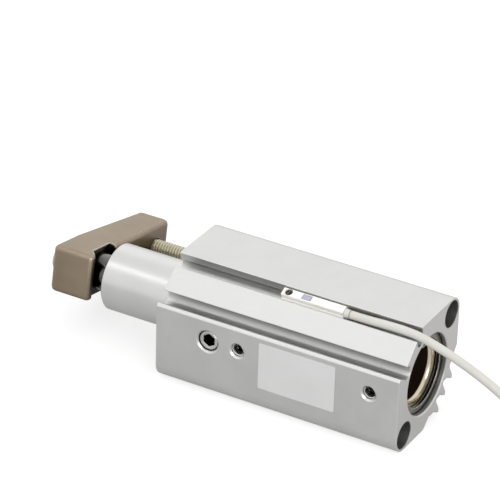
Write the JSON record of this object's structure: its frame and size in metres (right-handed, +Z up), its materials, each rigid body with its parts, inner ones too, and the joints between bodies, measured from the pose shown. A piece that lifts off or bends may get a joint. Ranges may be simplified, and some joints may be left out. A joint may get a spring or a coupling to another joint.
{
  "type": "swing clamp cylinder",
  "caption": "Compact air cylinder whose rod swings a clamp arm through a quarter turn and then pulls it down, with a position switch in a body slot.",
  "frame": {"origin": "middle of the bottom of the cylinder's box, without its cable, as it lies on its near lower edge's flat", "axes": "+X along the bore from the rod end to the cable end, +Y away from the face with the air ports, +Z up"},
  "size_m": [0.2336, 0.0577, 0.0384],
  "materials": {
    "cylinder_tube": "clear anodised, matt",
    "rod_cover": "fine turned, satin",
    "cover_o_ring": "matt",
    "rod_bushing": "turned bronze",
    "rod_seal": "matt",
    "rod_scraper": "turned bronze",
    "front_bumper": "urethane, matt",
    "guide_pin": "ground",
    "guide_pin_plug": "black oxide",
    "rear_plate": "dark gold chromate, polished",
    "plate_o_ring": "matt",
    "retaining_ring": "phosphated spring steel",
    "wear_ring": "resin",
    "piston_seal": "matt",
    "piston_magnet": "bonded ferrite",
    "piston": "chromated",
    "rear_bumper": "urethane, matt",
    "piston_rod": "hard chrome, polished",
    "piston_nut": "plain",
    "arm_screw": "black oxide",
    "arm_spring_washer": "plain",
    "clamp_arm": "nickel plated, brownish satin",
    "clamp_bolt": "pale zinc plated",
    "clamp_nut": "pale zinc plated",
    "switch_body": "ivory moulded resin",
    "switch_screw": "black oxide",
    "switch_lamp": "clear lilac window",
    "switch_boot": "soft sleeve",
    "switch_cable": "ivory vinyl sheath",
    "cable_coil": "ivory vinyl sheath",
    "cable_lead_brown": "vinyl",
    "cable_lead_blue": "vinyl"
  },
  "bodies": {
    "cylinder": {"cylinder_tube": "cylinder_tube", "rod_cover": "rod_cover", "cover_o_ring": "cover_o_ring", "rod_bushing": "rod_bushing", "rod_seal": "rod_seal", "rod_scraper": "rod_scraper", "front_bumper": "front_bumper", "guide_pin": "guide_pin", "guide_pin_plug": "guide_pin_plug", "rear_plate": "rear_plate", "plate_o_ring": "plate_o_ring", "retaining_ring": "retaining_ring", "switch_body": "switch_body", "switch_screw": "switch_screw", "switch_lamp": "switch_lamp", "switch_boot": "switch_boot", "switch_cable": "switch_cable", "cable_coil": "cable_coil", "cable_lead_brown": "cable_lead_brown", "cable_lead_blue": "cable_lead_blue"},
    "piston_unit": {"piston": "piston", "wear_ring": "wear_ring", "piston_seal": "piston_seal", "piston_magnet": "piston_magnet", "rear_bumper": "rear_bumper"},
    "rod_unit": {"piston_rod": "piston_rod", "piston_nut": "piston_nut", "clamp_arm": "clamp_arm", "arm_screw": "arm_screw", "arm_spring_washer": "arm_spring_washer", "clamp_bolt": "clamp_bolt", "clamp_nut": "clamp_nut"}
  },
  "joints": [
    {"name": "rod_stroke", "type": "slide", "parent": "cylinder", "child": "piston_unit", "axis": [-1, 0, 0], "range_m": [0, 0.0295]},
    {"name": "arm_swing", "type": "hinge", "parent": "piston_unit", "child": "rod_unit", "pos_m": [0.01565, -0.00965, 0.0192], "axis": [1, 0, 0], "range_deg": [0, 90]}
  ],
  "couplings": [
    {"joint": "arm_swing", "follows": "rod_stroke", "rad_per_m": 53.247}
  ]
}
